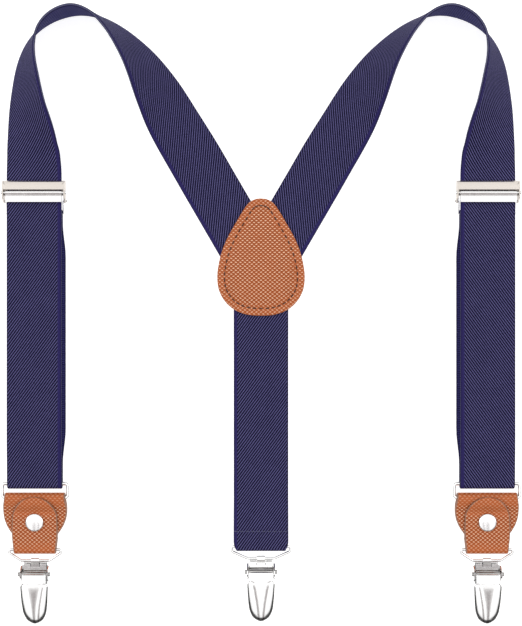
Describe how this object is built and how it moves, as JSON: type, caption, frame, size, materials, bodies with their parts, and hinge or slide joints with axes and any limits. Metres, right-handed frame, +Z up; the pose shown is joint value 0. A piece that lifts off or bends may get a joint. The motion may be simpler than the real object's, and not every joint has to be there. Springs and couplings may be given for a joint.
{
  "type": "clip-on suspenders",
  "caption": "Y-back elastic suspenders with leather back patch, cam adjusters, leather tabs on rings and hinged metal trouser clips, lying flat.",
  "frame": {"origin": "centre of the bounding box in plan, on the table the part lies on", "axes": "+Y along the straps towards the shoulders, -Y towards the clips, +X to the right with the outer face up, +Z up off the table"},
  "size_m": [0.242, 0.2844, 0.0254],
  "materials": {
    "navy_webbing": "elastic twill webbing",
    "navy_thread": "sewing thread",
    "tan_leather": "embossed, semi-gloss",
    "brown_thread": "waxed thread",
    "polished_nickel": "polished nickel plate",
    "dark_plastic": "moulded grip"
  },
  "bodies": {
    "shoulders": {"left_strap": "navy_webbing", "right_strap": "navy_webbing", "back_strap": "navy_webbing", "back_patch_front": "tan_leather", "back_patch_back": "tan_leather", "back_patch_stitches": "brown_thread"},
    "back_end": {"back_strap_end": "navy_webbing", "back_strap_stitches": "navy_thread"},
    "left_end": {"left_strap_return": "navy_webbing", "left_return_stitches": "navy_thread"},
    "left_ring": {"left_ring": "polished_nickel"},
    "left_tab": {"left_leather_tab": "tan_leather", "left_rivet_cap": "polished_nickel", "left_rivet_back": "polished_nickel"},
    "left_adjuster_loop": {"left_adjuster_loop": "polished_nickel"},
    "left_adjuster": {"left_adjuster_frame": "polished_nickel", "left_adjuster_pin": "polished_nickel"},
    "left_adjuster_lever": {"left_adjuster_lever": "polished_nickel"},
    "right_end": {"right_strap_return": "navy_webbing", "right_return_stitches": "navy_thread"},
    "right_ring": {"right_ring": "polished_nickel"},
    "right_tab": {"right_leather_tab": "tan_leather", "right_rivet_cap": "polished_nickel", "right_rivet_back": "polished_nickel"},
    "right_adjuster_loop": {"right_adjuster_loop": "polished_nickel"},
    "right_adjuster": {"right_adjuster_frame": "polished_nickel", "right_adjuster_pin": "polished_nickel"},
    "right_adjuster_lever": {"right_adjuster_lever": "polished_nickel"},
    "left_clip_loop": {"left_clip_loop": "polished_nickel"},
    "left_clip": {"left_clip_base": "polished_nickel", "left_clip_pin": "polished_nickel"},
    "left_clip_jaw": {"left_clip_jaw": "polished_nickel", "left_clip_pad": "dark_plastic"},
    "left_clip_flap": {"left_clip_flap": "polished_nickel"},
    "right_clip_loop": {"right_clip_loop": "polished_nickel"},
    "right_clip": {"right_clip_base": "polished_nickel", "right_clip_pin": "polished_nickel"},
    "right_clip_jaw": {"right_clip_jaw": "polished_nickel", "right_clip_pad": "dark_plastic"},
    "right_clip_flap": {"right_clip_flap": "polished_nickel"},
    "back_clip_loop": {"back_clip_loop": "polished_nickel"},
    "back_clip": {"back_clip_base": "polished_nickel", "back_clip_pin": "polished_nickel"},
    "back_clip_jaw": {"back_clip_jaw": "polished_nickel", "back_clip_pad": "dark_plastic"},
    "back_clip_flap": {"back_clip_flap": "polished_nickel"}
  },
  "joints": [
    {"name": "left_strap_length", "type": "slide", "parent": "shoulders", "child": "left_end", "axis": [0, -1, 0], "range_m": [-0.002, 0.05], "deforming": ["left_strap"]},
    {"name": "left_adjuster_travel", "type": "slide", "parent": "left_end", "child": "left_adjuster_loop", "axis": [0, -1, 0], "range_m": [-0.002, 0.05], "deforming": ["left_strap_return"]},
    {"name": "left_adjuster_tilt", "type": "hinge", "parent": "left_adjuster_loop", "child": "left_adjuster", "pos_m": [-0.1049, 0.0545, 0.0026], "axis": [-1, 0, 0], "range_deg": [-6, 6]},
    {"name": "left_adjuster_lever_lift", "type": "hinge", "parent": "left_adjuster", "child": "left_adjuster_lever", "pos_m": [-0.1049, 0.058, 0.0065], "axis": [-1, 0, 0], "range_deg": [0, 95]},
    {"name": "left_ring_swing", "type": "hinge", "parent": "left_end", "child": "left_ring", "pos_m": [-0.1049, -0.0767, 0.00235], "axis": [-1, 0, 0], "range_deg": [-60, 60]},
    {"name": "left_tab_swing", "type": "hinge", "parent": "left_ring", "child": "left_tab", "pos_m": [-0.1049, -0.0831, 0.00235], "axis": [-1, 0, 0], "range_deg": [-60, 60]},
    {"name": "right_strap_length", "type": "slide", "parent": "shoulders", "child": "right_end", "axis": [0, -1, 0], "range_m": [-0.002, 0.05], "deforming": ["right_strap"]},
    {"name": "right_adjuster_travel", "type": "slide", "parent": "right_end", "child": "right_adjuster_loop", "axis": [0, -1, 0], "range_m": [-0.002, 0.05], "deforming": ["right_strap_return"]},
    {"name": "right_adjuster_tilt", "type": "hinge", "parent": "right_adjuster_loop", "child": "right_adjuster", "pos_m": [0.1049, 0.0545, 0.0026], "axis": [-1, 0, 0], "range_deg": [-6, 6]},
    {"name": "right_adjuster_lever_lift", "type": "hinge", "parent": "right_adjuster", "child": "right_adjuster_lever", "pos_m": [0.1049, 0.058, 0.0065], "axis": [-1, 0, 0], "range_deg": [0, 95]},
    {"name": "right_ring_swing", "type": "hinge", "parent": "right_end", "child": "right_ring", "pos_m": [0.1049, -0.0767, 0.00235], "axis": [-1, 0, 0], "range_deg": [-60, 60]},
    {"name": "right_tab_swing", "type": "hinge", "parent": "right_ring", "child": "right_tab", "pos_m": [0.1049, -0.0831, 0.00235], "axis": [-1, 0, 0], "range_deg": [-60, 60]},
    {"name": "left_clip_loop_swing", "type": "hinge", "parent": "left_tab", "child": "left_clip_loop", "pos_m": [-0.1049, -0.1073, 0.0021], "axis": [-1, 0, 0], "range_deg": [-55, 30]},
    {"name": "left_clip_swing", "type": "hinge", "parent": "left_clip_loop", "child": "left_clip", "pos_m": [-0.1049, -0.1125, 0.0016], "axis": [-1, 0, 0], "range_deg": [-50, 30]},
    {"name": "left_clip_flap_lift", "type": "hinge", "parent": "left_clip", "child": "left_clip_flap", "pos_m": [-0.1049, -0.1183, 0.005], "axis": [-1, 0, 0], "range_deg": [0, 100]},
    {"name": "left_clip_jaw_open", "type": "hinge", "parent": "left_clip", "child": "left_clip_jaw", "pos_m": [-0.1049, -0.1125, 0.0016], "axis": [-1, 0, 0], "range_deg": [0, 10]},
    {"name": "right_clip_loop_swing", "type": "hinge", "parent": "right_tab", "child": "right_clip_loop", "pos_m": [0.1049, -0.1073, 0.0021], "axis": [-1, 0, 0], "range_deg": [-55, 30]},
    {"name": "right_clip_swing", "type": "hinge", "parent": "right_clip_loop", "child": "right_clip", "pos_m": [0.1049, -0.1125, 0.0016], "axis": [-1, 0, 0], "range_deg": [-50, 30]},
    {"name": "right_clip_flap_lift", "type": "hinge", "parent": "right_clip", "child": "right_clip_flap", "pos_m": [0.1049, -0.1183, 0.005], "axis": [-1, 0, 0], "range_deg": [0, 100]},
    {"name": "right_clip_jaw_open", "type": "hinge", "parent": "right_clip", "child": "right_clip_jaw", "pos_m": [0.1049, -0.1125, 0.0016], "axis": [-1, 0, 0], "range_deg": [0, 10]},
    {"name": "back_clip_loop_swing", "type": "hinge", "parent": "back_end", "child": "back_clip_loop", "pos_m": [0, -0.1059, 0.0021], "axis": [-1, 0, 0], "range_deg": [-45, 40]},
    {"name": "back_clip_swing", "type": "hinge", "parent": "back_clip_loop", "child": "back_clip", "pos_m": [0, -0.1114, 0.0016], "axis": [-1, 0, 0], "range_deg": [-50, 30]},
    {"name": "back_clip_flap_lift", "type": "hinge", "parent": "back_clip", "child": "back_clip_flap", "pos_m": [0, -0.1172, 0.005], "axis": [-1, 0, 0], "range_deg": [0, 100]},
    {"name": "back_clip_jaw_open", "type": "hinge", "parent": "back_clip", "child": "back_clip_jaw", "pos_m": [0, -0.1114, 0.0016], "axis": [-1, 0, 0], "range_deg": [0, 10]},
    {"name": "back_strap_stretch", "type": "slide", "parent": "shoulders", "child": "back_end", "axis": [0, -1, 0], "range_m": [0, 0.04], "stiffness_N_per_m": 250, "deforming": ["back_strap"]}
  ],
  "couplings": [
    {"joint": "left_adjuster_travel", "follows": "left_strap_length", "ratio": 1},
    {"joint": "right_adjuster_travel", "follows": "right_strap_length", "ratio": 1},
    {"joint": "left_clip_jaw_open", "follows": "left_clip_flap_lift", "ratio": 0.1},
    {"joint": "right_clip_jaw_open", "follows": "right_clip_flap_lift", "ratio": 0.1},
    {"joint": "back_clip_jaw_open", "follows": "back_clip_flap_lift", "ratio": 0.1}
  ]
}
